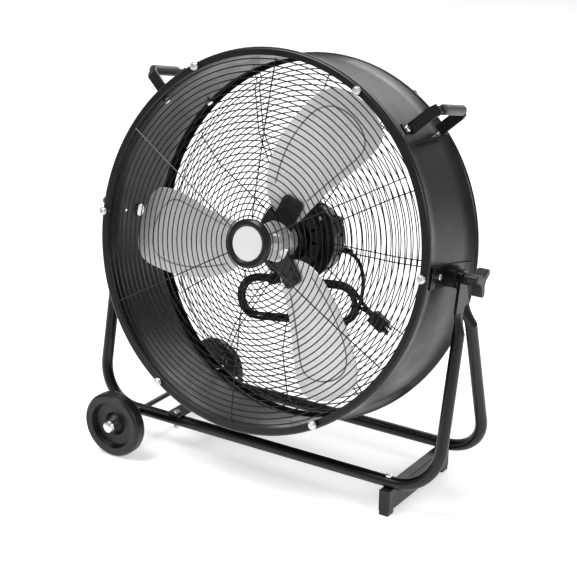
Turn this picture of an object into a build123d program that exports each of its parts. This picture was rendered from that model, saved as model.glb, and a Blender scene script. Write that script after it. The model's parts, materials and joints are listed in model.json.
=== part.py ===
from build123d import *
import math
import os

# 24 inch drum fan on a two-loop tube stand. Millimetres, +Z up, front of the fan towards -Y.
# Origin: on the floor, midway between the pivots and midway between the wheels.

# ---- driving dimensions ----
DRUM_R = 330.0          # outside radius over the rolled rims
WALL_R = 320.5          # outside radius of the drum wall
SHEET = 1.5             # drum sheet thickness
RIM_Y = 95.0            # half depth of the drum over the rims
RIM_IN_R = 316.0        # inner radius of the turned-in rim flange
PIVOT_Z = 418.0         # height of the tilt axis
TILT = 12.2             # upward tilt of the drum at rest, degrees
TUBE_D = 21.0           # stand tube diameter
TUBE_WALL = 1.5
LEG_X = 354.0           # half distance between the leg centre lines
RAIL_Z = 57.5           # height of the bottom rails
FRONT_RAIL_Y = -76.0
REAR_RAIL_Y = 111.0
BEND_R = 78.0           # centre line radius of the stand's bends
WHEEL_R = 60.5
WHEEL_X = -260.0
WHEEL_IN_Y = 145.0      # inner face of each wheel
WHEEL_W = 27.0
AXLE_D = 10.0
FOOT_X = 266.0          # centre line of the foot bar
FOOT_W = 20.0
FOOT_H = 40.0
STRAP_X = -181.0        # centre line of the cross strap beside the wheels
HANDLE_ANGLES = {"right": 43.3, "left": 138.2}
GRIP_SHIFT = {"right": 7.0, "left": -7.0}
GRIP_LEN = 72.0
HANDLE_R = 391.0        # outside radius of the handle over its flat top
HANDLE_HALF = 56.0      # half width over the legs
FOOT_BOLT_Y = 66.5      # handle bolts, either side of the drum's middle
BLADE_TIP_R = 293.0
BLADE_ANGLES = (68.0, 188.0, -52.0)
BLADE_T = 1.5
BLADE_PITCH = 14.0      # the anticlockwise edge is the nearer one to the front
WIRE_R = 1.1
SHAFT_D = 14.0
MOTOR_R = 66.0
CORD_D = 7.0
HANK_D = 18.0           # three strands side by side and over each other

os.makedirs("parts", exist_ok=True)


def save(shape, name):
    """Write one node's STEP file."""
    export_step(shape, f"parts/{name}.step")


def on_drum(shape):
    """Move a shape from the drum's own frame to the tilted drum on the stand."""
    return Pos(0, 0, PIVOT_Z) * Rot(-TILT, 0, 0) * shape


def y_cylinder(radius, y0, y1, x=0.0, z=0.0):
    """Cylinder along Y between two stations."""
    body = Rot(90, 0, 0) * Cylinder(radius, abs(y1 - y0))
    return Pos(x, (y0 + y1) / 2, z) * body


def x_cylinder(radius, x0, x1, y=0.0, z=0.0):
    """Cylinder along X between two stations."""
    body = Rot(0, 90, 0) * Cylinder(radius, abs(x1 - x0))
    return Pos((x0 + x1) / 2, y, z) * body


def about_y(angle, shape):
    """Turn a shape made on the +X side to a clock angle, counted from +X towards +Z."""
    return Rot(0, -angle, 0) * shape


def revolved(points):
    """Solid of revolution about Y from (radius, y) corners."""
    with BuildPart() as body:
        with BuildSketch(Plane.XY):
            with BuildLine():
                Polyline(*points, close=True)
            make_face()
        revolve(axis=Axis.Y)
    return body.part


def pan_screw(radius, length, head_r, head_h):
    """Domed-head screw along Z: the head is above Z = 0 and the shank below it."""
    shank = Pos(0, 0, -length / 2) * Cylinder(radius, length)
    head = Pos(0, 0, head_h / 2) * Cylinder(head_r, head_h)
    head = fillet(head.edges().sort_by(Axis.Z)[-1], head_h * 0.6)
    cross = Pos(0, 0, head_h) * (Box(head_r * 1.1, 0.9, 1.6) + Box(0.9, head_r * 1.1, 1.6))
    return (head + shank) - cross


def hex_nut(size, height, bore_r):
    """Nut along Z, standing on Z = 0."""
    with BuildPart() as nut:
        with BuildSketch():
            RegularPolygon(size / 2, 6, major_radius=False)
            Circle(bore_r, mode=Mode.SUBTRACT)
        extrude(amount=height)
    return nut.part


# ---- drum ----
def drum_shell():
    """Sheet drum with flared ends, rolled rims and turned-in rim flanges."""
    outer = DRUM_R
    flare_start = 52.0
    flare_end = 84.0
    flare_r = outer - 2.5
    with BuildPart() as body:
        with BuildSketch(Plane.XY):
            with BuildLine():
                Line((WALL_R, -flare_start), (WALL_R, flare_start))
                ThreePointArc((WALL_R, flare_start), (WALL_R + 1.8, 69), (flare_r, flare_end))
                ThreePointArc((flare_r, flare_end), (outer, 90), (outer - 4, RIM_Y))
                Line((outer - 4, RIM_Y), (RIM_IN_R, RIM_Y))
                Line((RIM_IN_R, RIM_Y), (RIM_IN_R, RIM_Y - SHEET))
                Line((RIM_IN_R, RIM_Y - SHEET), (outer - 4.6, RIM_Y - SHEET))
                ThreePointArc((outer - 4.6, RIM_Y - SHEET), (outer - SHEET, 90), (flare_r - SHEET, flare_end + 0.4))
                ThreePointArc((flare_r - SHEET, flare_end + 0.4), (WALL_R + 0.3, 69.4),
                              (WALL_R - SHEET, flare_start))
                Line((WALL_R - SHEET, flare_start), (WALL_R - SHEET, -flare_start))
                ThreePointArc((WALL_R - SHEET, -flare_start), (WALL_R + 0.3, -69.4),
                              (flare_r - SHEET, -flare_end - 0.4))
                ThreePointArc((flare_r - SHEET, -flare_end - 0.4), (outer - SHEET, -90),
                              (outer - 4.6, SHEET - RIM_Y))
                Line((outer - 4.6, SHEET - RIM_Y), (RIM_IN_R, SHEET - RIM_Y))
                Line((RIM_IN_R, SHEET - RIM_Y), (RIM_IN_R, -RIM_Y))
                Line((RIM_IN_R, -RIM_Y), (outer - 4, -RIM_Y))
                ThreePointArc((outer - 4, -RIM_Y), (outer, -90), (flare_r, -flare_end))
                ThreePointArc((flare_r, -flare_end), (WALL_R + 1.8, -69), (WALL_R, -flare_start))
            make_face()
        revolve(axis=Axis.Y)
    shell = body.part
    for angle in range(0, 360, 60):
        for side in (-1, 1):
            shell -= about_y(angle, y_cylinder(2.6, side * 90, side * 99, x=GRILLE_SCREW_R))
    for angle in HANDLE_ANGLES.values():
        for y in (-FOOT_BOLT_Y, FOOT_BOLT_Y):
            shell -= about_y(angle, x_cylinder(3.2, 310, 332, y=y))
    for angle in (0, 180):
        shell -= about_y(angle, x_cylinder(5.2, 310, 332))
        for y in (-PLATE_RIVET_Y, PLATE_RIVET_Y):
            shell -= about_y(angle, x_cylinder(2.6, 310, 332, y=y))
    return shell


GRILLE_SCREW_R = 322.5


def wire_ring(radius, y):
    """One ring of a wire guard, with a six-sided section."""
    with BuildPart() as body:
        with BuildSketch(Plane.XY):
            with Locations((radius, y)):
                RegularPolygon(WIRE_R, 6)
        revolve(axis=Axis.Y)
    return body.part


def rounded_path(points, radii):
    """Edges along points with a tangent arc of the given radius at every inner corner."""
    corners = [Vector(*point) for point in points]
    edges = []
    start = corners[0]
    for index, radius in enumerate(radii):
        before, corner, after = corners[index:index + 3]
        come = (before - corner).normalized()
        leave = (after - corner).normalized()
        half = math.acos(max(-1.0, min(1.0, come.dot(leave)))) / 2
        reach = radius / math.tan(half)
        middle = corner + (come + leave).normalized() * (radius / math.sin(half) - radius)
        arc_start = corner + come * reach
        arc_end = corner + leave * reach
        edges.append(Edge.make_line(start, arc_start))
        edges.append(Edge.make_three_point_arc(arc_start, middle, arc_end))
        start = arc_end
    edges.append(Edge.make_line(start, corners[-1]))
    return Wire(edges)


def wire_along(points, bend=14.0):
    """Guard wire bent through points."""
    path = rounded_path(points, [bend] * (len(points) - 2))
    return sweep((path ^ 0) * RegularPolygon(WIRE_R, 6), path)


def front_profile(radius):
    """Y of the domed front guard's rings at a radius."""
    return -(RIM_Y + 2.6) - 13.0 * (1 - (radius / 312.0) ** 2)


def front_grille():
    """Domed front guard: rings, six hairpin radials and six single radials."""
    count = 26
    first, last = 47.0, 310.0
    pieces = []
    for index in range(count):
        radius = first + (last - first) * index / (count - 1)
        pieces.append(wire_ring(radius, front_profile(radius)))
    lift = 2 * WIRE_R + 0.02
    for angle in range(0, 360, 60):
        pieces.append(about_y(angle, hairpin(44.0, GRILLE_SCREW_R + 4.5, 9.0, lift)))
        start = (44.0, front_profile(44.0) - lift, 0)
        middle = (170.0, front_profile(170.0) - lift, 0)
        end = (313.0, front_profile(313.0) - lift, 0)
        arc = ThreePointArc(start, middle, end)
        pieces.append(about_y(angle + 30, sweep((arc ^ 0) * RegularPolygon(WIRE_R, 6), arc)))
    return Compound(children=pieces)


def hairpin(inner, outer, gap, lift):
    """Double radial of the front guard, looped round its rim screw."""
    half = gap / 2
    straight_end = outer - half

    def at(radius, z):
        return (radius, front_profile(min(radius, 312.0)) - lift, z)

    with BuildLine() as line:
        low = ThreePointArc(at(inner, -half), at(170.0, -half), at(straight_end, -half))
        loop = ThreePointArc(at(straight_end, -half), at(outer, 0), at(straight_end, half))
        ThreePointArc(at(straight_end, half), at(170.0, half), at(inner, half))
    path = line.line
    return sweep((path ^ 0) * RegularPolygon(WIRE_R, 6), path, transition=Transition.RIGHT)


def front_hub_ring():
    """Black pressed ring that closes the middle of the front guard."""
    y = front_profile(44.0)
    return revolved([(30.0, y - 7.5), (33.0, y - 9.0), (38.0, y - 9.0), (42.0, y - 5.5),
                     (42.0, y + 3.0), (40.0, y + 3.0), (40.0, y - 4.3), (37.0, y - 6.9),
                     (33.5, y - 6.9), (30.0, y - 5.4)])


def front_badge():
    """Plain round cap inside the hub ring."""
    y = front_profile(44.0)
    disc = revolved([(0, y - 7.4), (29.0, y - 7.4), (29.7, y - 6.7), (29.7, y - 4.5), (0, y - 4.5)])
    boss = y_cylinder(5.0, y - 4.6, y + 3.0)
    return disc + boss


REAR_FLAT_R = 205.0     # the rear guard is flat inside this radius
REAR_STEP_R = 290.0     # and dished inwards between here and the flat
REAR_FLAT_Y = 46.0
REAR_STEP_Y = 82.0


def rear_profile(radius):
    """Y of the dished rear guard's rings at a radius."""
    edge = RIM_Y + 3.4
    if radius <= REAR_FLAT_R:
        return REAR_FLAT_Y
    if radius <= REAR_STEP_R:
        share = (radius - REAR_FLAT_R) / (REAR_STEP_R - REAR_FLAT_R)
        return REAR_FLAT_Y + (REAR_STEP_Y - REAR_FLAT_Y) * share
    share = min((radius - REAR_STEP_R) / (306.0 - REAR_STEP_R), 1.0)
    return REAR_STEP_Y + (edge - REAR_STEP_Y) * share


def rear_radial(z, inner, outer):
    """Radial wire in front of the rear guard's rings, bent with the dish."""
    lift = 2 * WIRE_R + 0.02
    stations = [inner, REAR_FLAT_R, REAR_STEP_R, 306.0, outer]
    points = [(radius, rear_profile(radius) - lift, z) for radius in stations]
    return wire_along(points)


def rear_grille():
    """Dished rear guard: rings with six double and six single radials in front of them."""
    count = 25
    first, last = 82.0, 310.0
    pieces = []
    for index in range(count):
        radius = first + (last - first) * index / (count - 1)
        pieces.append(wire_ring(radius, rear_profile(radius)))
    for angle in range(0, 360, 60):
        for z in (-5.0, 5.0):
            pieces.append(about_y(angle, rear_radial(z, 74.0, 324.0)))
        pieces.append(about_y(angle + 30, rear_radial(0.0, 74.0, 310.0)))
    return Compound(children=pieces)


SCREW_LIFT = {-1: 7.7, 1: 3.5}    # seat of the screws' washers off the rim faces


def grille_screws(side):
    """Six rim screws of one guard, with washers as wide as the hairpin loops."""
    y = side * RIM_Y
    screws = []
    for angle in range(0, 360, 60):
        screw = pan_screw(2.4, 16, 6.0, 3.6)
        washer = Pos(0, 0, -0.6) * (Cylinder(7.5, 1.2))
        stack = Pos(GRILLE_SCREW_R, y + side * SCREW_LIFT[side], 0) * Rot(-90 * side, 0, 0) * (screw + washer)
        screws.append(about_y(angle, stack))
    return Compound(children=screws)


# ---- handles ----
def handle(angle):
    """Flat-bar U handle with turned-out feet and cut corners."""
    bar_t, width, corner, foot_out = 4.0, 20.0, 11.0, 20.0
    top, half = HANDLE_R, HANDLE_HALF
    base = DRUM_R + 0.6
    outer = [(base, -half - foot_out), (base + bar_t, -half - foot_out), (base + bar_t, -half),
             (top - corner, -half), (top, -half + corner), (top, half - corner),
             (top - corner, half), (base + bar_t, half), (base + bar_t, half + foot_out),
             (base, half + foot_out)]
    cut = corner - bar_t * 0.6
    inner = [(base, half - bar_t), (top - bar_t - cut, half - bar_t),
             (top - bar_t, half - bar_t - cut), (top - bar_t, bar_t + cut - half),
             (top - bar_t - cut, bar_t - half), (base, bar_t - half)]
    with BuildPart() as body:
        with BuildSketch(Plane.XY):
            with BuildLine():
                Polyline(*outer, *inner, close=True)
            make_face()
        extrude(amount=width / 2, both=True)
    bar = body.part
    for y in (-FOOT_BOLT_Y, FOOT_BOLT_Y):
        bar -= x_cylinder(3.2, base - 4, base + 8, y=y)
    for side in (-1, 1):
        bar -= Pos(top - bar_t / 2, 0, side * (GRIP_BAR_W / 2 + 10)) * Box(bar_t + 2, 2 * half - 2 * corner, 20)
    return about_y(angle, bar)


GRIP_BAR_W = 12.0       # width of the bar inside the grip


def handle_grip(angle, shift):
    """Round plastic sleeve on the handle's flat top."""
    y0, y1 = shift - GRIP_LEN / 2, shift + GRIP_LEN / 2
    axis_r = HANDLE_R - 2.0
    sleeve = y_cylinder(9.0, y0, y1, x=axis_r)
    sleeve = fillet(sleeve.edges().filter_by(GeomType.CIRCLE), 1.2)
    sleeve -= Pos(axis_r, shift, 0) * Box(4.1, 100, GRIP_BAR_W + 0.1)
    return about_y(angle, sleeve)


# ---- blades, hub and motor ----
SPIDER_Y = -34.0
HUB_Y = SPIDER_Y + 3.1
HUB_END = -2.0
HUB_R = 31.0


RIVET_SPOTS = ((60.0, 11.0), (60.0, -11.0), (77.0, 11.0), (77.0, -11.0))
ARM_T = 5.0
BLADE_SEAT = ARM_T / 2 + BLADE_T / 2 + 0.98


def blade():
    """Cambered sheet paddle, hollow side to the front, pitched about its own radial line."""
    camber_r = 420.0
    root_r = 48.0
    length = BLADE_TIP_R + 20 - root_r
    tube = Cylinder(camber_r + BLADE_T / 2, length) - Cylinder(camber_r - BLADE_T / 2, length + 2)
    tube = Pos(root_r + length / 2, -camber_r, 0) * Rot(0, 90, 0) * tube
    sheet = tube & (Pos(root_r + length / 2, 0, 0) * Box(length, camber_r, 240))
    body = sheet & blade_outline(root_r)
    for x, z in RIVET_SPOTS:
        body -= y_cylinder(2.1, -30, 30, x=x, z=z)
    body = Pos(0, BLADE_SEAT, 0) * body
    body = Rot(BLADE_PITCH, 0, 0) * body
    body = body & (Rot(90, 0, 0) * Cylinder(BLADE_TIP_R, 300))
    return max(body.solids(), key=lambda solid: solid.volume)


def blade_rivets():
    """Rivets through the spider's arms into the blades."""
    rivets = []
    for angle in BLADE_ANGLES:
        for x, z in RIVET_SPOTS:
            rivet = Rot(90, 0, 0) * pan_screw(2.0, 9.0, 3.6, 1.6)
            rivet = Rot(BLADE_PITCH, 0, 0) * (Pos(x, -ARM_T / 2 - 0.05, z) * rivet)
            rivets.append(about_y(angle, Pos(0, SPIDER_Y, 0) * rivet))
    return Compound(children=rivets)


def blade_outline(root_r):
    """Plan outline of a blade as a tall prism along Y: wide shoulders and a slanted round tip."""
    tip = BLADE_TIP_R
    with BuildPart() as prism:
        with BuildSketch(Plane.XZ):
            with BuildLine():
                Spline((root_r, -22), (root_r + 36, -33), (root_r + 84, -48), (root_r + 124, -66),
                       (root_r + 178, -86), (tip - 36, -87), (tip - 12, -60), (tip, -14), (tip - 5, 24),
                       (tip - 22, 44), (tip - 54, 57), (root_r + 148, 68), (root_r + 90, 71),
                       (root_r + 40, 60), (root_r, 24))
                Line((root_r, 24), (root_r, -22))
            make_face()
        extrude(amount=140, both=True)
    return prism.part


def blade_at(angle):
    """One blade set behind its spider arm."""
    return about_y(angle, Pos(0, SPIDER_Y, 0) * blade())


def spider():
    """Black three-arm carrier with a round centre."""
    body = y_cylinder(34.0, SPIDER_Y - 3, SPIDER_Y + 3)
    for angle in BLADE_ANGLES:
        arm = Pos(54, 0, 0) * Box(64, ARM_T, 40)
        arm = fillet(arm.edges().filter_by(Axis.Y), 9)
        for x, z in RIVET_SPOTS:
            arm -= y_cylinder(2.1, -30, 30, x=x, z=z)
        arm = Rot(BLADE_PITCH, 0, 0) * arm
        body += about_y(angle, Pos(0, SPIDER_Y, 0) * arm)
    body -= y_cylinder(SHAFT_D / 2 + 6.05, SPIDER_Y - 20, SPIDER_Y + 20)
    return body - y_cylinder(HUB_R + 0.3, HUB_Y - 0.05, 0)


def hub_boss():
    """Aluminium hub between the spider and the motor, with a nose through the spider."""
    hub = revolved([(SHAFT_D / 2, HUB_Y), (30.0, HUB_Y), (HUB_R, HUB_Y + 1.5), (HUB_R, HUB_END - 2),
                    (HUB_R - 2, HUB_END), (SHAFT_D / 2, HUB_END)])
    nose = y_cylinder(13.0, SPIDER_Y - 12, HUB_Y) - y_cylinder(SHAFT_D / 2, SPIDER_Y - 20, 0)
    return hub + nose


def motor_shaft():
    """Rotor shaft with a threaded nose."""
    return y_cylinder(SHAFT_D / 2, SPIDER_Y - 16, MOTOR_BACK)


def shaft_nut():
    """Nut and washer on the shaft's nose, drawn as one turned piece."""
    nut = Rot(90, 0, 0) * hex_nut(22, 9, SHAFT_D / 2)
    washer = y_cylinder(15, SPIDER_Y - 14.2, SPIDER_Y - 12.05) - y_cylinder(SHAFT_D / 2, -80, 0)
    return Pos(0, SPIDER_Y - 14.2, 0) * nut + washer


MOTOR_FRONT = 4.0      # face of the motor's nose
MOTOR_MOUNT = 40.0      # front face of the mount ring
MOTOR_MID = 42.7        # shoulder behind the mount ring
MOTOR_JOINT = 70.0      # joint of the two bells
MOTOR_BACK = 102.0
BEARING_R = 17.5
MOUNT_BOLT_R = 62.6


def motor_front_cover():
    """Front bell of the motor: bearing nose, shoulder behind the mount ring, full body."""
    body = revolved([(11.0, MOTOR_FRONT), (30.0, MOTOR_FRONT), (34.0, MOTOR_FRONT + 4),
                     (37.0, 27.0), (55.0, 34.0), (59.0, 39.0), (59.0, MOTOR_MID),
                     (MOTOR_R, MOTOR_MID), (MOTOR_R, MOTOR_JOINT), (MOTOR_R - 3, MOTOR_JOINT),
                     (MOTOR_R - 3, MOTOR_MID + 4), (54.0, MOTOR_MID + 4), (54.0, 38.5),
                     (33.0, 30.5), (33.0, MOTOR_FRONT + 8), (BEARING_R + 3, MOTOR_FRONT + 8),
                     (BEARING_R + 3, MOTOR_FRONT + 23), (BEARING_R + 0.05, MOTOR_FRONT + 23), (BEARING_R + 0.05, MOTOR_FRONT + 8), (11.0, MOTOR_FRONT + 8)])
    for angle in range(0, 360, 30):
        body -= about_y(angle, Pos(45.5, 32, 0) * Box(11, 14, 6))
    for angle in range(0, 360, 15):
        body -= about_y(angle, Pos(MOTOR_R + 1, 58, 0) * Box(5, 16, 3))
    for angle in (45, 135, 225, 315):
        body -= about_y(angle, y_cylinder(2.1, MOTOR_MID - 3, MOTOR_MID + 6, x=MOUNT_BOLT_R))
    return body


def motor_rear_cover():
    """Rear bell of the motor with cooling slots and the rear bearing seat."""
    body = revolved([(BEARING_R + 0.05, MOTOR_BACK - 14), (BEARING_R + 3, MOTOR_BACK - 14),
                     (BEARING_R + 3, MOTOR_BACK - 5), (MOTOR_R - 3, MOTOR_BACK - 5),
                     (MOTOR_R - 3, MOTOR_JOINT + 0.1), (MOTOR_R, MOTOR_JOINT + 0.1),
                     (MOTOR_R, MOTOR_BACK - 3), (MOTOR_R - 3, MOTOR_BACK), (18.0, MOTOR_BACK),
                     (16.0, MOTOR_BACK + 3.6), (0.0, MOTOR_BACK + 3.6), (0.0, MOTOR_BACK + 1.4),
                     (BEARING_R + 0.05, MOTOR_BACK - 1.4)])
    for angle in range(0, 360, 30):
        slot = Pos(MOTOR_R, MOTOR_JOINT + 13, 0) * Box(12, 16, 7)
        body -= about_y(angle + 15, slot)
    return body


def stator():
    """Laminated stator ring pressed into the motor body."""
    ring = y_cylinder(MOTOR_R - 3.05, MOTOR_JOINT - 18, MOTOR_JOINT + 18)
    return ring - y_cylinder(36.0, 0, 120)


def rotor():
    """Cage rotor on the shaft."""
    return y_cylinder(35.5, MOTOR_JOINT - 16, MOTOR_JOINT + 16) - y_cylinder(SHAFT_D / 2, 0, 120)


def bearing(y0, y1):
    """Ball bearing drawn as its outline ring; it turns with the shaft."""
    return y_cylinder(BEARING_R, y0, y1) - y_cylinder(SHAFT_D / 2, 0, 120)


def motor_mount():
    """Pressed ring that carries the motor on the middle of the rear guard."""
    y = MOTOR_MOUNT
    ring = revolved([(59.3, y), (77.0, y), (78.0, y + 1.0), (78.0, y + 2.6), (59.3, y + 2.6)])
    for angle in (45, 135, 225, 315):
        ring -= about_y(angle, y_cylinder(2.1, y - 5, y + 5, x=MOUNT_BOLT_R))
    return ring


def mount_screws():
    """Four screws that hold the motor's shoulder to the mount ring."""
    screws = []
    for angle in (45, 135, 225, 315):
        screw = Rot(90, 0, 0) * pan_screw(2.0, 7.5, 3.1, 2.4)
        screws.append(about_y(angle, Pos(MOUNT_BOLT_R, MOTOR_MOUNT - 0.05, 0) * screw))
    return Compound(children=screws)


GLAND_Y = MOTOR_BACK + 19
GLAND_Z = -14.0
GLAND_X = 46.0          # end of the gland, where the cord comes out


def switch_box():
    """Moulded box on the mount ring: capacitor room and speed switch."""
    y0, y1 = MOTOR_BACK + 0.1, MOTOR_BACK + 40
    box = Pos(0, (y0 + y1) / 2, 0) * Box(66, y1 - y0, 84)
    box = fillet(box.edges().filter_by(Axis.Y), 10)
    box -= Pos(0, (y0 + y1) / 2 - 2, 0) * Box(60, y1 - y0, 78)
    box -= y_cylinder(20.0, y0 - 1, y0 + 4)
    box -= y_cylinder(5.3, y1 - 10, y1 + 4, z=14)
    box -= x_cylinder(6.05, 24, 40, y=GLAND_Y, z=GLAND_Z)
    return box


def capacitor():
    """Motor capacitor inside the switch box."""
    y = MOTOR_BACK + 26
    return Pos(-14, y, -26) * Rot(0, 90, 0) * Cylinder(10, 26)


def cable_gland():
    """Moulded bush that holds the cord in the box's right-hand wall."""
    bush = revolved([(0, 27), (6, 27), (6, 33.1), (9, 33.1), (9, 36), (7, 38), (5.2, GLAND_X), (0, GLAND_X)])
    return Pos(0, GLAND_Y, GLAND_Z) * Rot(0, 0, -90) * bush


def speed_switch():
    """Rotary switch body behind the box's back wall."""
    y1 = MOTOR_BACK + 35
    return Pos(0, y1 - 8, 14) * Box(30, 14, 28)


def speed_knob():
    """Three-position speed knob with a grip bar."""
    y = MOTOR_BACK + 40.4
    knob = y_cylinder(15, y, y + 5, z=14) + Pos(0, y + 9, 14) * Box(8, 9, 29)
    stem = y_cylinder(5.2, MOTOR_BACK + 34.4, y + 1, z=14)
    return knob + stem


# ---- power cord, stored on the rear guard ----
HANK_Y = 58.5           # the hank lies on the back of the rear guard
HANK_CENTRE = (8.0, -110.0)
HANK_TURN = 6.6         # the right-hand end is the higher one, degrees
HANK_HALF = 87.0        # half length of the straight runs
HANK_END_R = 34.0
TAIL_START = (127.0, 60.0, -97.0)
PLUG_START = (147.0, 75.0, -106.0)
PLUG_END = (187.0, 75.0, -130.0)


def cord_along(points):
    """Cord through points: straight runs with a tangent arc at every corner."""
    runs = [Vector(*b) - Vector(*a) for a, b in zip(points, points[1:])]
    radii = []
    for first, second in zip(runs, runs[1:]):
        half_turn = math.radians(first.get_angle(second)) / 2
        radii.append(0.45 * min(first.length, second.length) / math.tan(half_turn))
    print("cord arc radii", [round(radius, 1) for radius in radii])
    path = rounded_path(points, radii)
    start = Plane(points[0], z_dir=runs[0].normalized())
    return sweep(start * Circle(CORD_D / 2), path)


def power_cord():
    """Lead from the gland down to the hank."""
    return cord_along([(GLAND_X, GLAND_Y, GLAND_Z), (77, 120, -17), (100, 112, -38), (115, 98, -61),
                       (124, 81, -84), (128, 67, -104)])


def on_hank(shape):
    """Put a shape made round the origin in the XZ plane on the hank's place."""
    return Pos(HANK_CENTRE[0], HANK_Y, HANK_CENTRE[1]) * Rot(0, -HANK_TURN, 0) * shape


def cord_hank():
    """Outer shape of the three turns of stored cord."""
    half, radius = HANK_HALF, HANK_END_R
    with BuildPart() as ring:
        with BuildLine(Plane.XZ) as path:
            Line((-half, radius), (half, radius))
            ThreePointArc((half, radius), (half + radius, 0), (half, -radius))
            Line((half, -radius), (-half, -radius))
            ThreePointArc((-half, -radius), (-half - radius, 0), (-half, radius))
        with BuildSketch(Plane((-half, 0, radius), z_dir=(1, 0, 0))):
            Circle(HANK_D / 2)
        sweep(path=path.line)
    return on_hank(ring.part)


def cord_ties():
    """Two straps round the hank's strands."""
    inner = HANK_D / 2 + 0.3
    ties = []
    for x, z in ((-52, HANK_END_R), (46, -HANK_END_R)):
        tie = x_cylinder(inner + 1.4, x - 4, x + 4, z=z) - x_cylinder(inner, x - 5, x + 5, z=z)
        ties.append(on_hank(tie))
    return Compound(children=ties)


def plug():
    """Moulded mains plug with the free end of the cord: sleeve, body and three pins."""
    start = Vector(*PLUG_START)
    run = Vector(*PLUG_END) - start
    tail = start - Vector(*TAIL_START)
    body = Pos(0, 0, 4) * Cone(4.6, 6.4, 12) + Pos(0, 0, 24) * fillet(
        Box(25, 20, 30).edges().filter_by(Axis.Z), 5)
    for x in (-6.3, 6.3):
        body += Pos(x, 0, run.length - 4) * Box(1.5, 6.5, 17)
    body += Pos(0, 5, run.length - 4) * Cylinder(2.3, 17)
    body = Plane(start, z_dir=run.normalized()) * body
    lead = Pos(0, 0, tail.length / 2 + 1) * Cylinder(CORD_D / 2, tail.length + 2)
    return body + Plane(TAIL_START, z_dir=tail.normalized()) * lead


# ---- tilt pivots and stand ----
END_T = 5.0
FLAT_LENGTH = 58.0      # pivot to the end of the pressed-flat part
REAR_END_X = 341.0
FRONT_END_X = REAR_END_X + END_T + 0.3
BOLT_R = 4.9
PLATE_RIVET_Y = 38.0


def pivot_plate(side):
    """Curved reinforcing plate along the drum wall with a flat seat for the pivot."""
    wall = WALL_R + 0.3
    profile = [(wall, 52), (wall + 2.2, 69), (wall + 5.2, 78), (wall + 8.6, 78), (wall + 5.7, 69),
               (wall + 3.5, 52)]
    ring = revolved(profile + [(radius, -y) for radius, y in reversed(profile)])
    plate = ring & (Pos(side * 325, 0, 0) * Box(60, 170, 38))
    seat = x_cylinder(19, side * (WALL_R + 2), side * (REAR_END_X - 1.6))
    seat -= y_cylinder(wall, -60, 60)
    plate = plate + seat
    plate -= x_cylinder(5.1, side * 300, side * 350)
    for y in (-PLATE_RIVET_Y, PLATE_RIVET_Y):
        plate -= x_cylinder(2.6, side * 300, side * 350, y=y)
    return plate


def plate_rivets():
    """Four rivets that hold the pivot plates to the drum wall."""
    rivets = []
    for angle in (0, 180):
        for y in (-PLATE_RIVET_Y, PLATE_RIVET_Y):
            rivet = Rot(0, 90, 0) * pan_screw(2.5, 5.6, 5.0, 2.4)
            rivets.append(about_y(angle, Pos(WALL_R + 3.95, y, 0) * rivet))
    return Compound(children=rivets)


def pivot_washer(side):
    """Fibre washer between the drum's seat and the stand."""
    x0 = REAR_END_X - 1.3
    ring = x_cylinder(17, side * x0, side * (REAR_END_X - 0.2)) - x_cylinder(5.1, side * 300, side * 360)
    return ring


def pivot_bolt(side):
    """Bolt through the drum wall, plate and both stand tubes into the knob."""
    seat = WALL_R - SHEET - 0.3
    shank = x_cylinder(BOLT_R, side * (seat - 0.5), side * (FRONT_END_X + END_T + 22))
    head = x_cylinder(11, side * (seat - 3.5), side * seat)
    return shank + head


def tilt_knob(side):
    """Three-lobed clamping knob on the pivot bolt."""
    x0 = FRONT_END_X + END_T + 2.0
    with BuildPart() as body:
        with BuildSketch(Plane.YZ):
            Circle(10)
            for index in range(3):
                angle = 33 + 120 * index
                with Locations(Rot(0, 0, angle) * Pos(13, 0)):
                    SlotOverall(28, 13)
        extrude(amount=18)
        fillet(body.edges().group_by(Axis.X)[-1], 2.0)
    knob = Pos(x0 + 14, 0, 0) * body.part
    knob += x_cylinder(10, x0, x0 + 15)
    knob -= x_cylinder(BOLT_R + 0.05, x0 - 2, FRONT_END_X + END_T + 22.3)
    return knob if side > 0 else Rot(0, 0, 180) * knob


def stand_loop(rail_y, end_x):
    """One bent-tube loop: two legs with flattened tops and a bottom rail."""
    drop = PIVOT_Z - RAIL_Z
    length = math.hypot(rail_y, drop)
    lean = math.degrees(math.atan2(rail_y, drop))
    top = -FLAT_LENGTH - 34.0
    radius = TUBE_D / 2
    path = FilletPolyline((-LEG_X, 0, top), (-LEG_X, 0, -length), (LEG_X, 0, -length),
                          (LEG_X, 0, top), radius=BEND_R)
    start = Plane((-LEG_X, 0, top), z_dir=(0, 0, -1))
    tube = sweep(start * Circle(radius), path)
    bore = sweep(start * Circle(radius - TUBE_WALL), path)
    loop = tube - bore
    for side in (-1, 1):
        loop += flattened_end(side, end_x, top)
    loop = Rot(lean, 0, 0) * loop
    loop = Pos(0, 0, PIVOT_Z) * loop
    return loop


def flattened_end(side, end_x, top):
    """Pressed-flat tube end round the pivot hole."""
    centre = side * (end_x + END_T / 2)
    flat_half = 14.0
    with BuildPart() as body:
        with BuildSketch(Plane((side * LEG_X, 0, top), x_dir=(1, 0, 0), z_dir=(0, 0, 1))):
            Circle(TUBE_D / 2)
        with BuildSketch(Plane((centre, 0, -FLAT_LENGTH), x_dir=(1, 0, 0), z_dir=(0, 0, 1))):
            RectangleRounded(END_T, 2 * flat_half, 2.2)
        loft()
    end = body.part
    plate = Pos(centre, 0, -FLAT_LENGTH / 2) * Box(END_T, 2 * flat_half, FLAT_LENGTH)
    plate += x_cylinder(flat_half, centre - END_T / 2, centre + END_T / 2)
    end = end + plate
    return end - x_cylinder(BOLT_R + 0.05, centre - 10, centre + 10)


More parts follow.
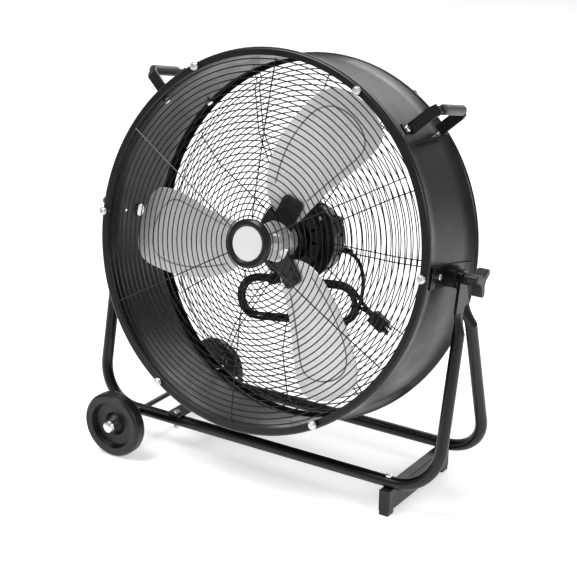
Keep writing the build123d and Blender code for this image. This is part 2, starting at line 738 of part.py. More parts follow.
def drilled(loop, rail_y):
    """Cut the axle, strap and foot-bar holes in a loop's rail."""
    loop -= y_cylinder(AXLE_D / 2, rail_y - 20, rail_y + 20, x=WHEEL_X, z=WHEEL_R)
    for x in (STRAP_X, FOOT_X):
        loop -= Pos(x, rail_y, RAIL_Z) * Cylinder(3.1, 40)
    return loop


def axle():
    """Straight axle rod through both rails."""
    end = WHEEL_IN_Y + WHEEL_W + 8
    return y_cylinder(AXLE_D / 2, -end, end, x=WHEEL_X, z=WHEEL_R)


def axle_spacers():
    """Sleeves between the rails and the wheels."""
    sleeves = []
    for y0, y1 in ((-WHEEL_IN_Y + 2.2, FRONT_RAIL_Y - 12), (REAR_RAIL_Y + 12, WHEEL_IN_Y - 2.2)):
        sleeve = y_cylinder(8, y0, y1) - y_cylinder(AXLE_D / 2, y0 - 1, y1 + 1)
        sleeves.append(Pos(WHEEL_X, 0, WHEEL_R) * sleeve)
    return Compound(children=sleeves)


def wheel(side):
    """Moulded wheel: tread, dished web with ribs and a long hub."""
    y0 = WHEEL_IN_Y
    y1 = WHEEL_IN_Y + WHEEL_W
    body = revolved([(AXLE_D / 2 + 0.05, y0 - 1.5), (13, y0 - 1.5), (15, y0 + 6), (40, y0 + 8),
                     (43, y0 + 1.5), (56, y0), (WHEEL_R - 1.2, y0 + 3), (WHEEL_R, y0 + 6),
                     (WHEEL_R, y1 - 6), (WHEEL_R - 1.2, y1 - 3), (56, y1), (44, y1 - 1),
                     (40, y1 - 12), (22, y1 - 13), (16, y1 - 4), (13, y1 + 1), (AXLE_D / 2 + 0.05, y1 + 1)])
    if side < 0:
        body = mirror(body, about=Plane.XZ)
    return Pos(WHEEL_X, 0, WHEEL_R) * body


def wheel_caps():
    """Pressed caps on the axle ends."""
    caps = []
    for side in (-1, 1):
        y0 = WHEEL_IN_Y + WHEEL_W + 1.6
        cap = revolved([(0, y0 + 6.5), (AXLE_D / 2, y0 + 6.5), (AXLE_D / 2, y0), (10.5, y0),
                        (11.5, y0 + 2), (9.5, y0 + 7), (6, y0 + 9), (0, y0 + 9.5)])
        caps.append(Pos(WHEEL_X, 0, WHEEL_R) * (cap if side > 0 else mirror(cap, about=Plane.XZ)))
    return Compound(children=caps)


def foot_bar():
    """Rectangular tube across the rails on the side away from the wheels."""
    y0, y1 = FRONT_RAIL_Y - 15, REAR_RAIL_Y + 15
    top = RAIL_Z - TUBE_D / 2
    bar = Pos(FOOT_X, (y0 + y1) / 2, top - FOOT_H / 2) * Box(FOOT_W, y1 - y0, FOOT_H)
    bar = fillet(bar.edges().filter_by(Axis.Y), 2.5)
    bar -= Pos(FOOT_X, (y0 + y1) / 2, top - FOOT_H / 2) * Box(FOOT_W - 3, y1 - y0 + 2, FOOT_H - 3)
    for y in (FRONT_RAIL_Y, REAR_RAIL_Y):
        bar -= Pos(FOOT_X, y, top) * Cylinder(3.1, 20)
    return bar


def foot_pads():
    """Moulded end plugs of the foot bar, each with a pad below it."""
    top = RAIL_Z - TUBE_D / 2
    pads = []
    for y, side in ((FRONT_RAIL_Y - 15, -1), (REAR_RAIL_Y + 15, 1)):
        flange = Pos(FOOT_X, y + side * 1.0, top - FOOT_H / 2) * Box(FOOT_W - 1, 2.0, FOOT_H - 1)
        plug = Pos(FOOT_X, y - side * 5, top - FOOT_H / 2) * Box(FOOT_W - 3.2, 10.2, FOOT_H - 3.2)
        pad_h = top - FOOT_H
        pad = Pos(FOOT_X, y - side * 9, pad_h / 2) * Box(17, 18, pad_h)
        pad += Pos(FOOT_X, y + side * 1.0, pad_h) * Box(17, 2.0, 6)
        pads.append(flange + plug + pad + Pos(FOOT_X, y + side * 1.0, pad_h / 2) * Box(17, 2.0, pad_h))
    return Compound(children=pads)


def cross_strap():
    """Flat bar across the tops of both rails beside the wheels."""
    y0, y1 = FRONT_RAIL_Y - 12, REAR_RAIL_Y + 12
    z0 = RAIL_Z + TUBE_D / 2 + 0.1
    strap = Pos(STRAP_X, (y0 + y1) / 2, z0 + 1.5) * Box(33, y1 - y0, 3)
    strap = fillet(strap.edges().filter_by(Axis.Z), 6)
    for y in (FRONT_RAIL_Y, REAR_RAIL_Y):
        strap -= Pos(STRAP_X, y, z0) * Cylinder(3.1, 12)
    return strap


def rail_screws(x, lift, length):
    """Two screws down through the rails at one cross member."""
    screws = []
    for y in (FRONT_RAIL_Y, REAR_RAIL_Y):
        screws.append(Pos(x, y, RAIL_Z + TUBE_D / 2 + lift) * pan_screw(3.0, length, 6.5, 4.0))
    return Compound(children=screws)


def rail_nuts():
    """Nuts under the rails at the cross strap."""
    nuts = []
    for y in (FRONT_RAIL_Y, REAR_RAIL_Y):
        nuts.append(Pos(STRAP_X, y, RAIL_Z - TUBE_D / 2 - 5.0) * hex_nut(10, 5, 3.05))
    return Compound(children=nuts)


def handle_screws():
    """Four screws through the handles' feet."""
    screws = []
    for angle in HANDLE_ANGLES.values():
        for y in (-FOOT_BOLT_Y, FOOT_BOLT_Y):
            screw = Rot(0, 90, 0) * pan_screw(3.0, 21, 6.0, 3.6)
            screws.append(about_y(angle, Pos(DRUM_R + 4.7, y, 0) * screw))
    return Compound(children=screws)


def handle_nuts():
    """Four nuts inside the drum wall."""
    nuts = []
    for angle in HANDLE_ANGLES.values():
        for y in (-FOOT_BOLT_Y, FOOT_BOLT_Y):
            nut = Rot(0, 90, 0) * hex_nut(10, 5, 3.05)
            nuts.append(about_y(angle, Pos(WALL_R - SHEET - 5.3, y, 0) * nut))
    return Compound(children=nuts)


def main():
    """Build every node and write it."""
    drum_parts = {
        "drum_shell": drum_shell(),
        "front_grille": front_grille(),
        "front_hub_ring": front_hub_ring(),
        "front_badge": front_badge(),
        "rear_grille": rear_grille(),
        "front_grille_screws": grille_screws(-1),
        "rear_grille_screws": grille_screws(1),
        "motor_front_cover": motor_front_cover(),
        "motor_rear_cover": motor_rear_cover(),
        "stator": stator(),
        "rotor": rotor(),
        "motor_shaft": motor_shaft(),
        "front_bearing": bearing(MOTOR_FRONT + 8.2, MOTOR_FRONT + 22.8),
        "rear_bearing": bearing(MOTOR_BACK - 14, MOTOR_BACK - 1.6),
        "motor_mount": motor_mount(),
        "mount_screws": mount_screws(),
        "switch_box": switch_box(),
        "capacitor": capacitor(),
        "cable_gland": cable_gland(),
        "power_cord": power_cord(),
        "cord_hank": cord_hank(),
        "cord_ties": cord_ties(),
        "plug": plug(),
        "speed_switch": speed_switch(),
        "speed_knob": speed_knob(),
        "blade_spider": spider(),
        "hub_boss": hub_boss(),
        "shaft_nut": shaft_nut(),
        "plate_rivets": plate_rivets(),
        "blade_rivets": blade_rivets(),
        "handle_screws": handle_screws(),
        "handle_nuts": handle_nuts(),
    }
    for index, angle in enumerate(BLADE_ANGLES):
        drum_parts[f"blade_{index + 1}"] = blade_at(angle)
    for side, angle in HANDLE_ANGLES.items():
        drum_parts[f"handle_{side}"] = handle(angle)
        drum_parts[f"handle_grip_{side}"] = handle_grip(angle, GRIP_SHIFT[side])
    for name, sign in (("left", -1), ("right", 1)):
        drum_parts[f"pivot_plate_{name}"] = pivot_plate(sign)
    for name, shape in drum_parts.items():
        save(on_drum(shape), name)
    for name, sign in (("left", -1), ("right", 1)):
        for node, maker in (("pivot_washer", pivot_washer), ("pivot_bolt", pivot_bolt), ("tilt_knob", tilt_knob)):
            save(Pos(0, 0, PIVOT_Z) * maker(sign), f"{node}_{name}")
    save(drilled(stand_loop(FRONT_RAIL_Y, FRONT_END_X), FRONT_RAIL_Y), "stand_front_loop")
    save(drilled(stand_loop(REAR_RAIL_Y, REAR_END_X), REAR_RAIL_Y), "stand_rear_loop")
    save(axle(), "axle")
    save(axle_spacers(), "axle_spacers")
    save(wheel(-1), "wheel_front")
    save(wheel(1), "wheel_rear")
    save(wheel_caps(), "wheel_caps")
    save(foot_bar(), "foot_bar")
    save(foot_pads(), "foot_pads")
    save(cross_strap(), "cross_strap")
    save(rail_screws(FOOT_X, 0.0, 26.0), "foot_bar_screws")
    save(rail_screws(STRAP_X, 3.2, 32.0), "strap_screws")
    save(rail_nuts(), "strap_nuts")


main()
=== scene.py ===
"""Looks of a tilting drum fan on a wheeled tube stand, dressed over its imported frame."""
import json
import logging
import math
from dataclasses import dataclass
from enum import Enum

import bpy
from mathutils import Matrix, Vector


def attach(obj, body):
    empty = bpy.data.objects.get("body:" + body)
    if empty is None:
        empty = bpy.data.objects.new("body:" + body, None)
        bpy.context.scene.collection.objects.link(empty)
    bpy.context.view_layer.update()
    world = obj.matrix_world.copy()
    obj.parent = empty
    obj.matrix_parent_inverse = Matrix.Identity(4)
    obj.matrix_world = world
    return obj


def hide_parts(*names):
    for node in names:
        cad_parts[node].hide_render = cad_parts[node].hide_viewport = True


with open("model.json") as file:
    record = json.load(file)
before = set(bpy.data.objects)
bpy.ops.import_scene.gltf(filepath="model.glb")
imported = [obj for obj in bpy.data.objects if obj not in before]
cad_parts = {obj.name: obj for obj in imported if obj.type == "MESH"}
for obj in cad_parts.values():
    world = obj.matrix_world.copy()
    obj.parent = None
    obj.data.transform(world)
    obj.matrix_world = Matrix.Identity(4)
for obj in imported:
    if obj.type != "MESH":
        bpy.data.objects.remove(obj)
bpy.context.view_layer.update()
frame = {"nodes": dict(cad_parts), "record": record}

LOG = logging.getLogger("drum_fan")

TILT = math.radians(12.2)
PIVOT = Vector((0.0, 0.0, 0.418))
BLADE_ANGLES = (68.0, 188.0, -52.0)     # degrees anticlockwise from +X, seen from the front


def on_drum(x: float, y: float, z: float) -> Vector:
    """Place of a point of the drum's own frame on the tilted drum.

    Args:
        x: metres to the right of the drum's centre.
        y: metres behind the drum's centre.
        z: metres above the drum's centre.

    Returns:
        The point in the row frame.
    """
    return PIVOT + Matrix.Rotation(-TILT, 3, "X") @ Vector((x, y, z))


def drum_matrix() -> Matrix:
    """Transform from the drum's own frame to the row frame."""
    return Matrix.Translation(PIVOT) @ Matrix.Rotation(-TILT, 4, "X")


# ---- finishes ----
class Shading:
    """A material's node tree with short calls to grow it."""

    def __init__(self, name: str) -> None:
        """Start an empty tree with one Principled shader.

        Args:
            name: the material's name.
        """
        self.material = bpy.data.materials.new(name)
        self.material.use_nodes = True
        self.tree = self.material.node_tree
        self.tree.nodes.clear()
        self.output = self.tree.nodes.new("ShaderNodeOutputMaterial")
        self.shader = self.tree.nodes.new("ShaderNodeBsdfPrincipled")
        self.link(self.shader.outputs["BSDF"], self.output.inputs["Surface"])
        self.place = self.tree.nodes.new("ShaderNodeTexCoord").outputs["Object"]

    def link(self, source: bpy.types.NodeSocket, target: bpy.types.NodeSocket) -> None:
        """Join two sockets."""
        self.tree.links.new(source, target)

    def noise(self, scale: float, detail: float, stretch: tuple[float, float, float] = (1, 1, 1)
              ) -> bpy.types.NodeSocket:
        """Noise over the object's own coordinates.

        Args:
            scale: cells per metre.
            detail: octaves.
            stretch: scale per axis, for streaks.

        Returns:
            The noise's factor.
        """
        mapping = self.tree.nodes.new("ShaderNodeMapping")
        mapping.inputs["Scale"].default_value = stretch
        self.link(self.place, mapping.inputs["Vector"])
        node = self.tree.nodes.new("ShaderNodeTexNoise")
        node.inputs["Scale"].default_value = scale
        node.inputs["Detail"].default_value = detail
        self.link(mapping.outputs["Vector"], node.inputs["Vector"])
        return node.outputs["Fac"]

    def remap(self, value: bpy.types.NodeSocket, low: float, high: float) -> bpy.types.NodeSocket:
        """Stretch the middle of a noise's factor to a range.

        Args:
            value: the factor.
            low: result where the factor is low.
            high: result where it is high.

        Returns:
            The new value.
        """
        node = self.tree.nodes.new("ShaderNodeMapRange")
        for key, number in (("From Min", 0.35), ("From Max", 0.65), ("To Min", low), ("To Max", high)):
            node.inputs[key].default_value = number
        self.link(value, node.inputs["Value"])
        return node.outputs["Result"]

    def blend(self, factor: bpy.types.NodeSocket, first: tuple[float, ...], second: tuple[float, ...]
              ) -> bpy.types.NodeSocket:
        """Colour between two by a factor.

        Args:
            factor: nought for the first colour and one for the second.
            first: linear red, green and blue.
            second: linear red, green and blue.

        Returns:
            The colour's socket.
        """
        node = self.tree.nodes.new("ShaderNodeMix")
        node.data_type = "RGBA"
        node.inputs["A"].default_value = (*first, 1.0)
        node.inputs["B"].default_value = (*second, 1.0)
        self.link(factor, node.inputs["Factor"])
        return node.outputs["Result"]

    def near_shaft(self, radius: float) -> bpy.types.NodeSocket:
        """One close to the shaft's line and nought further out.

        Args:
            radius: metres from the line to the edge of the near part.

        Returns:
            The mask's socket.
        """
        offset = self.tree.nodes.new("ShaderNodeVectorMath")
        offset.operation = "SUBTRACT"
        self.link(self.place, offset.inputs[0])
        offset.inputs[1].default_value = PIVOT
        across = self.tree.nodes.new("ShaderNodeVectorMath")
        across.operation = "CROSS_PRODUCT"
        self.link(offset.outputs["Vector"], across.inputs[0])
        across.inputs[1].default_value = (0.0, math.cos(TILT), -math.sin(TILT))
        distance = self.tree.nodes.new("ShaderNodeVectorMath")
        distance.operation = "LENGTH"
        self.link(across.outputs["Vector"], distance.inputs[0])
        mask = self.tree.nodes.new("ShaderNodeMath")
        mask.operation = "LESS_THAN"
        self.link(distance.outputs["Value"], mask.inputs[0])
        mask.inputs[1].default_value = radius
        return mask.outputs["Value"]

    def bump(self, height: bpy.types.NodeSocket, strength: float, distance: float
             ) -> bpy.types.NodeSocket:
        """Bump from a height.

        Args:
            height: the height's factor.
            strength: 0 to 1.
            distance: depth in metres.

        Returns:
            The bumped normal.
        """
        node = self.tree.nodes.new("ShaderNodeBump")
        node.inputs["Strength"].default_value = strength
        node.inputs["Distance"].default_value = distance
        self.link(height, node.inputs["Height"])
        return node.outputs["Normal"]


@dataclass(frozen=True)
class PaintFinish:
    """Powder coat or enamel on metal, with orange peel and faint clouding."""

    name: str
    base: tuple[float, float, float]
    roughness: float
    peel_scale: float = 900.0
    peel: float = 0.12
    cloud: float = 0.3

    def material(self) -> bpy.types.Material:
        """Make the paint's material."""
        art = Shading(self.name)
        cloud = art.noise(9.0, 5.0)
        lighter = tuple(min(1.0, part * (1 + self.cloud) + 0.001) for part in self.base)
        art.link(art.blend(cloud, self.base, lighter), art.shader.inputs["Base Color"])
        smudge = art.remap(art.noise(26.0, 6.0), self.roughness - 0.04, self.roughness + 0.06)
        art.link(smudge, art.shader.inputs["Roughness"])
        art.shader.inputs["IOR"].default_value = 1.42
        peel = art.bump(art.noise(self.peel_scale, 2.0), self.peel, 0.0003)
        art.link(peel, art.shader.inputs["Normal"])
        return art.material


@dataclass(frozen=True)
class MetalFinish:
    """Bare or plated metal with streaks or cloudy plating."""

    name: str
    base: tuple[float, float, float]
    roughness: float
    streak: tuple[float, float, float] = (1.0, 1.0, 1.0)
    streak_scale: float = 160.0
    grain: float = 0.1
    metallic: float = 1.0

    def material(self) -> bpy.types.Material:
        """Make the metal's material."""
        art = Shading(self.name)
        art.shader.inputs["Metallic"].default_value = self.metallic
        fibre = art.noise(self.streak_scale, 6.0, self.streak)
        darker = tuple(part * 0.82 for part in self.base)
        art.link(art.blend(art.noise(14.0, 4.0), darker, self.base), art.shader.inputs["Base Color"])
        art.link(art.remap(fibre, self.roughness - 0.06, self.roughness + 0.1),
                 art.shader.inputs["Roughness"])
        art.link(art.bump(fibre, self.grain, 0.0002), art.shader.inputs["Normal"])
        return art.material


@dataclass(frozen=True)
class CarrierFinish:
    """Black arms round a bare aluminium middle."""

    name: str
    arms: tuple[float, float, float]
    middle: tuple[float, float, float]
    middle_radius: float
    roughness: float

    def material(self) -> bpy.types.Material:
        """Make the carrier's material."""
        art = Shading(self.name)
        near = art.near_shaft(self.middle_radius)
        art.link(art.blend(near, self.arms, self.middle), art.shader.inputs["Base Color"])
        art.link(near, art.shader.inputs["Metallic"])
        art.link(art.remap(art.noise(26.0, 6.0), self.roughness - 0.05, self.roughness + 0.06),
                 art.shader.inputs["Roughness"])
        art.link(art.bump(art.noise(800.0, 2.0), 0.15, 0.0003), art.shader.inputs["Normal"])
        return art.material


@dataclass(frozen=True)
class PlasticFinish:
    """Moulded plastic or rubber with a fine spark-eroded texture."""

    name: str
    base: tuple[float, float, float]
    roughness: float
    texture_scale: float = 1600.0
    texture: float = 0.25

    def material(self) -> bpy.types.Material:
        """Make the plastic's material."""
        art = Shading(self.name)
        worn = tuple(part * 1.5 + 0.004 for part in self.base)
        art.link(art.blend(art.noise(18.0, 5.0), self.base, worn), art.shader.inputs["Base Color"])
        art.link(art.remap(art.noise(40.0, 5.0), self.roughness - 0.05, self.roughness + 0.08),
                 art.shader.inputs["Roughness"])
        grain = art.noise(self.texture_scale, 3.0)
        art.link(art.bump(grain, self.texture, 0.0002), art.shader.inputs["Normal"])
        art.shader.inputs["IOR"].default_value = 1.42
        return art.material


class Finish(Enum):
    """The fan's finishes, by the record's slot."""

    DRUM = PaintFinish("drum_powder_coat", (0.0025, 0.0025, 0.003), 0.31, peel=0.14)
    GUARD = PaintFinish("guard_enamel", (0.003, 0.003, 0.0035), 0.26, peel=0.05)
    STAND = PaintFinish("stand_powder_coat", (0.003, 0.003, 0.0035), 0.25, peel=0.1)
    FOOT_BAR = PaintFinish("foot_bar_paint", (0.02, 0.02, 0.022), 0.42, peel=0.14)
    ZINC = MetalFinish("bright_zinc", (0.9, 0.9, 0.92), 0.26, streak_scale=420.0)
    BLADE = MetalFinish("rolled_aluminium", (0.86, 0.865, 0.88), 0.34, (1.0, 1.0, 14.0), 60.0, 0.06, 0.72)
    # same metal as the blade, made darker: painted shade along the pressed bead's groove
    BEAD_PAINTED_SHADE = MetalFinish("pressed_bead_painted_shade", (0.3, 0.3, 0.31), 0.4)
    BADGE = MetalFinish("brushed_cap", (0.74, 0.74, 0.75), 0.5, (1.0, 1.0, 30.0), 90.0, 0.06, 0.3)
    MOTOR = PaintFinish("motor_enamel", (0.003, 0.003, 0.0035), 0.32, peel=0.22)
    CARRIER = CarrierFinish("spider_two_tone", (0.003, 0.003, 0.0035), (0.86, 0.86, 0.88), 0.0362, 0.34)
    STEEL = MetalFinish("turned_steel", (0.45, 0.45, 0.46), 0.36, (1.0, 20.0, 1.0), 200.0, 0.12)
    GRIP = PlasticFinish("grip_sleeve", (0.045, 0.045, 0.048), 0.42, 1300.0, 0.3)
    PLASTIC = PlasticFinish("moulded_black", (0.003, 0.003, 0.0035), 0.36)
    SWITCH = PlasticFinish("switch_box_black", (0.01, 0.01, 0.011), 0.46, 1100.0, 0.35)
    CORD = PlasticFinish("cord_sheath", (0.006, 0.006, 0.007), 0.44, 700.0, 0.15)


SLOT_FINISH: dict[str, Finish] = {
    "drum_paint": Finish.DRUM, "guard_paint": Finish.GUARD, "stand_paint": Finish.STAND,
    "foot_bar_paint": Finish.FOOT_BAR, "bright_zinc": Finish.ZINC, "blade_aluminium": Finish.BLADE,
    "badge_silver": Finish.BADGE, "motor_black": Finish.MOTOR, "bare_steel": Finish.STEEL,
    "grip_grey": Finish.GRIP, "black_plastic": Finish.PLASTIC, "switch_plastic": Finish.SWITCH,
    "cord_black": Finish.CORD,
}


class PaintShop:
    """Keeps one material for each finish and puts it on pieces."""

    def __init__(self) -> None:
        """Start with no material made."""
        self.made: dict[Finish, bpy.types.Material] = {}

    def material(self, finish: Finish) -> bpy.types.Material:
        """Material of a finish, made at its first use."""
        if finish not in self.made:
            self.made[finish] = finish.value.material()
        return self.made[finish]

    def dress(self, piece: bpy.types.Object, finish: Finish) -> None:
        """Put one finish on a whole piece."""
        piece.data.materials.clear()
        piece.data.materials.append(self.material(finish))

    def dress_frame(self) -> None:
        """Put the record's finishes on every CAD node."""
        for part in frame["record"]["subparts"]:
            self.dress(frame["nodes"][part["node"]], SLOT_FINISH[part["material_slot"]])
        self.dress(frame["nodes"]["blade_spider"], Finish.CARRIER)


# ---- power cord ----
@dataclass
class Hank:
    """Three turns of cord laid as one long ring behind the rear guard, in the drum's frame."""

    centre: tuple[float, float, float] = (0.008, 0.0585, -0.110)
    turn: float = math.radians(6.6)
    half: float = 0.087
    end_radius: float = 0.034
    turns: int = 3
    strand_offset: float = 0.005
    steps: int = 28

    def middle(self, share: float) -> tuple[Vector, Vector]:
        """Point and outward direction of the ring's middle line.

        Args:
            share: part of the way round, clockwise from the foremost point of the right-hand end.

        Returns:
            The point and the direction away from the ring's inside, both in the drum's frame.
        """
        straight, arc = 2 * self.half, math.pi * self.end_radius
        way = (share % 1.0) * 2 * (straight + arc)
        lengths = (arc / 2, straight, arc, straight, arc / 2)
        index = 0
        while index < 4 and way > lengths[index]:
            way -= lengths[index]
            index += 1
        if index in (1, 3):
            side = -1 if index == 1 else 1
            flat = Vector((side * (way - self.half), 0.0, side * self.end_radius))
            out = Vector((0.0, 0.0, side))
        else:
            first = {0: 0.0, 2: -math.pi / 2, 4: math.pi / 2}[index]
            angle = first - way / self.end_radius
            out = Vector((math.cos(angle), 0.0, math.sin(angle)))
            flat = out * self.end_radius + Vector((-self.half if index == 2 else self.half, 0.0, 0.0))
        tilt = Matrix.Rotation(-self.turn, 3, "Y")
        return Vector(self.centre) + tilt @ flat, tilt @ out

    def strand(self, start: float, end: float) -> list[Vector]:
        """Points of the cord round the ring.

        Args:
            start: first place, in turns.
            end: last place, in turns.

        Returns:
            Points in the drum's frame, a third of a turn round the ring's section at each lap.
        """
        count = max(2, round((end - start) * self.steps))
        points = []
        for step in range(count + 1):
            lap = start + (end - start) * step / count
            middle, out = self.middle(lap)
            angle = math.radians(60.0 + 120.0 * lap)
            across = out * math.cos(angle) + Vector((0.0, 1.0, 0.0)) * math.sin(angle)
            points.append(middle + self.strand_offset * across)
        return points


class Cord:
    """The mains lead: out of the switch box, three turns in the hank and a plug."""

    DIAMETER = 0.007
    EXIT = (0.046, 0.121, -0.014)
    LEAD = ((0.077, 0.120, -0.017), (0.100, 0.112, -0.038), (0.115, 0.098, -0.061), (0.124, 0.081, -0.084),
            (0.128, 0.067, -0.104))
    RELIEF_RADII = (0.0068, 0.0046)
    RELIEF_LENGTH = 0.026
    RELIEF_MIDDLE = (0.059, 0.1207, -0.0146)
    RELIEF_TURN = math.radians(92)
    JOIN = 0.045        # laps from the hank's foremost point to where the lead joins it
    LEAVE = 0.05        # laps left of the last turn where the tail leaves it
    TAIL = ((0.1335, 0.067, -0.0905), (0.147, 0.075, -0.106))

    def __init__(self, shop: "PaintShop") -> None:
        """Keep the shop that gives the sheath's finish."""
        self.shop = shop
        self.hank = Hank()

    def route(self) -> list[Vector]:
        """Every point of the route, from the exit to the plug, in the drum's frame."""
        wound = self.hank.strand(self.JOIN, self.hank.turns - self.LEAVE)
        return [Vector(self.EXIT), *map(Vector, self.LEAD), *wound, *map(Vector, self.TAIL)]

    def tube(self, points: list[Vector]) -> bpy.types.Object:
        """Round cord along one curve; its points carry the thickness, so its box is the cord's own."""
        data = bpy.data.curves.new("mains_lead", "CURVE")
        data.dimensions = "3D"
        data.bevel_depth = 1.0
        data.bevel_resolution = 5
        data.resolution_u = 6
        data.use_fill_caps = True
        spline = data.splines.new("NURBS")
        spline.points.add(len(points) - 1)
        for knot, point in zip(spline.points, points):
            knot.co = (*on_drum(*point), 1.0)
            knot.radius = self.DIAMETER / 2
        spline.order_u = 3
        spline.use_endpoint_u = True
        lead = bpy.data.objects.new("mains_lead", data)
        bpy.context.scene.collection.objects.link(lead)
        return lead

    def length(self, points: list[Vector]) -> float:
        """Length of the smooth curve that the route's points steer."""
        middles = [points[0], *((a + b) / 2 for a, b in zip(points[1:], points[2:-1])), points[-1]]
        total = 0.0
        for start, steer, end in zip(middles, points[1:-1], middles[1:]):
            steps = [start * (1 - t) ** 2 + steer * 2 * t * (1 - t) + end * t ** 2 for t in
                     (index / 12 for index in range(13))]
            total += sum((b - a).length for a, b in zip(steps, steps[1:]))
        return total

    def relief(self) -> bpy.types.Object:
        """Tapered sleeve where the cord leaves the gland."""
        bpy.ops.mesh.primitive_cone_add(vertices=32, radius1=self.RELIEF_RADII[0], radius2=self.RELIEF_RADII[1],
                                        depth=self.RELIEF_LENGTH, location=self.RELIEF_MIDDLE,
                                        rotation=(0.0, self.RELIEF_TURN, 0.0))
        sleeve = bpy.context.object
        sleeve.name = "strain_relief"
        sleeve.data.transform(drum_matrix() @ sleeve.matrix_basis)
        sleeve.matrix_basis = Matrix.Identity(4)
        return sleeve

    def build(self) -> None:
        """Make, declare and dress the cord."""
        points = self.route()
        lead = self.tube(points)
        sleeve = self.relief()
        LOG.info("cord length %.3f m", self.length(points))
        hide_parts("power_cord", "cord_hank")
        for piece in (lead, sleeve):
            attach(piece, "drum")
            self.shop.dress(piece, Finish.CORD)


# ---- blades ----
@dataclass
class BladeBead:
    """Pressed bead inside a blade's edge, on the blade's front face, in the drum's frame; it is dressed darker
    than the blade as painted shade along the groove.
    """

    shop: "PaintShop"
    spider_y: float = -0.034
    seat: float = 0.00423
    camber: float = 0.42
    pitch: float = math.radians(14.0)
    radius: float = 0.0013

    def outline(self) -> list[tuple[float, float]]:
        """Steering points of the bead as distances along and across the blade."""
        root, tip = 0.092, 0.262
        return [(root, 0.044), (root + 0.046, 0.054), (root + 0.1, 0.052), (tip - 0.024, 0.04),
                (tip - 0.003, 0.018),
                (tip, -0.012), (tip - 0.008, -0.04), (tip - 0.024, -0.062), (tip - 0.046, -0.07),
                (root + 0.076, -0.05), (root + 0.032, -0.032), (root, -0.02)]

    def place(self, along: float, across: float, angle: float) -> Vector:
        """Point on a blade's front face.

        Args:
            along: metres from the shaft's line.
            across: metres towards the anticlockwise edge.
            angle: the blade's clock angle in radians.

        Returns:
            The point in the row frame.
        """
        depth = self.seat - 0.0007 - across * across / (2 * self.camber)
        leaf = Matrix.Rotation(self.pitch, 3, "X") @ Vector((along, depth, across))
        leaf.y += self.spider_y
        return on_drum(*(Matrix.Rotation(-angle, 3, "Y") @ leaf))

    def bead(self, name: str, angle: float) -> bpy.types.Object:
        """One open-ended bead, as a mesh."""
        data = bpy.data.curves.new(name, "CURVE")
        data.dimensions = "3D"
        data.bevel_depth = self.radius
        data.bevel_resolution = 2
        data.resolution_u = 8
        spline = data.splines.new("NURBS")
        steer = self.outline()
        spline.points.add(len(steer) - 1)
        for knot, (along, across) in zip(spline.points, steer):
            knot.co = (*self.place(along, across, angle), 1.0)
        spline.order_u = 3
        spline.use_endpoint_u = True
        curve = bpy.data.objects.new(name, data)
        bpy.context.scene.collection.objects.link(curve)
        bpy.context.view_layer.objects.active = curve
        curve.select_set(True)
        bpy.ops.object.convert(target="MESH")
        bpy.ops.object.shade_smooth()
        curve.select_set(False)
        return curve

    def build(self) -> None:
        """Put a bead on each of the three blades."""
        for index, angle in enumerate(BLADE_ANGLES):
            piece = self.bead(f"blade_bead_{index + 1}", math.radians(angle))
            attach(piece, "fan")
            # the darker finish is painted shade along the bead, not a different metal
            self.shop.dress(piece, Finish.BEAD_PAINTED_SHADE)


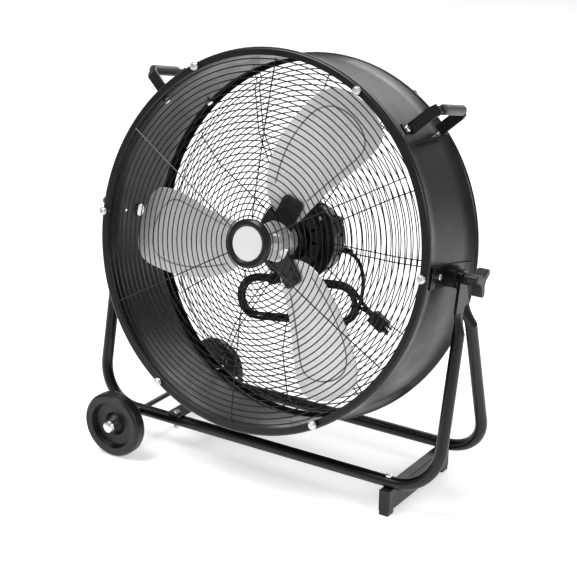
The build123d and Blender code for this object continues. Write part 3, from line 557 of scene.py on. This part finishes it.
# ---- stage ----
@dataclass
class Studio:
    """Camera, soft lights and a pale floor."""

    camera_place: tuple[float, float, float] = (1.4128, -2.2050, 1.2806)
    look: tuple[float, float, float] = (-0.50521, 0.79426, -0.33752)
    roll: float = -0.7
    lens: float = 98.62

    def camera(self) -> None:
        """Make the camera at the viewing angle."""
        data = bpy.data.cameras.new("view")
        data.lens = self.lens
        data.sensor_width = 36.0
        data.sensor_fit = "AUTO"
        data.clip_end = 60.0
        camera = bpy.data.objects.new("view", data)
        bpy.context.scene.collection.objects.link(camera)
        turn = Vector(self.look).to_track_quat("-Z", "Y")
        roll = Matrix.Rotation(math.radians(self.roll), 4, Vector(self.look))
        place = Matrix.Translation(self.camera_place)
        camera.matrix_world = place @ roll.to_3x3().to_4x4() @ turn.to_matrix().to_4x4()
        bpy.context.scene.camera = camera

    def panel(self, name: str, place: tuple[float, float, float], target: tuple[float, float, float],
              size: float, power: float) -> None:
        """One square soft light.

        Args:
            name: the light's name.
            place: where it stands.
            target: the point it faces.
            size: side in metres.
            power: watts.
        """
        data = bpy.data.lights.new(name, "AREA")
        data.shape = "SQUARE"
        data.size = size
        data.energy = power
        light = bpy.data.objects.new(name, data)
        bpy.context.scene.collection.objects.link(light)
        light.location = place
        light.rotation_mode = "QUATERNION"
        light.rotation_quaternion = (Vector(target) - Vector(place)).to_track_quat("-Z", "Y")

    def build(self) -> None:
        """Set the floor, world and lights."""
        bpy.ops.mesh.primitive_plane_add(size=40.0, location=(0, 0, -0.0005))
        floor = bpy.context.object
        floor.name = "floor"
        art = Shading("pale_floor")
        art.link(art.blend(art.noise(0.8, 3.0), (0.86, 0.86, 0.86), (0.9, 0.9, 0.9)),
                 art.shader.inputs["Base Color"])
        art.shader.inputs["Roughness"].default_value = 0.9
        art.shader.inputs["Emission Color"].default_value = (1.0, 1.0, 1.0, 1.0)
        art.shader.inputs["Emission Strength"].default_value = 0.45
        floor.data.materials.append(art.material)
        world = bpy.data.worlds.new("studio")
        bpy.context.scene.world = world
        world.use_nodes = True
        world.node_tree.nodes["Background"].inputs["Color"].default_value = (1.0, 1.0, 1.0, 1.0)
        world.node_tree.nodes["Background"].inputs["Strength"].default_value = 0.4
        self.panel("key", (-1.2, -1.6, 4.2), (0, 0, 0.2), 2.2, 150.0)
        self.panel("fill", (3.4, -0.8, 2.4), (0.2, 0, 0.3), 1.2, 40.0)
        self.panel("back", (-0.4, 3.2, 2.8), (0, 0, 0.2), 2.4, 60.0)
        bpy.context.scene.view_settings.view_transform = "Standard"


def main() -> None:
    """Build the scene in order."""
    logging.basicConfig(level=logging.INFO, format="%(message)s")
    for piece in bpy.context.selected_objects:
        piece.select_set(False)
    studio = Studio()
    studio.camera()
    shop = PaintShop()
    Cord(shop).build()
    shop.dress_frame()
    BladeBead(shop).build()
    studio.build()


if __name__ == "__main__":
    main()
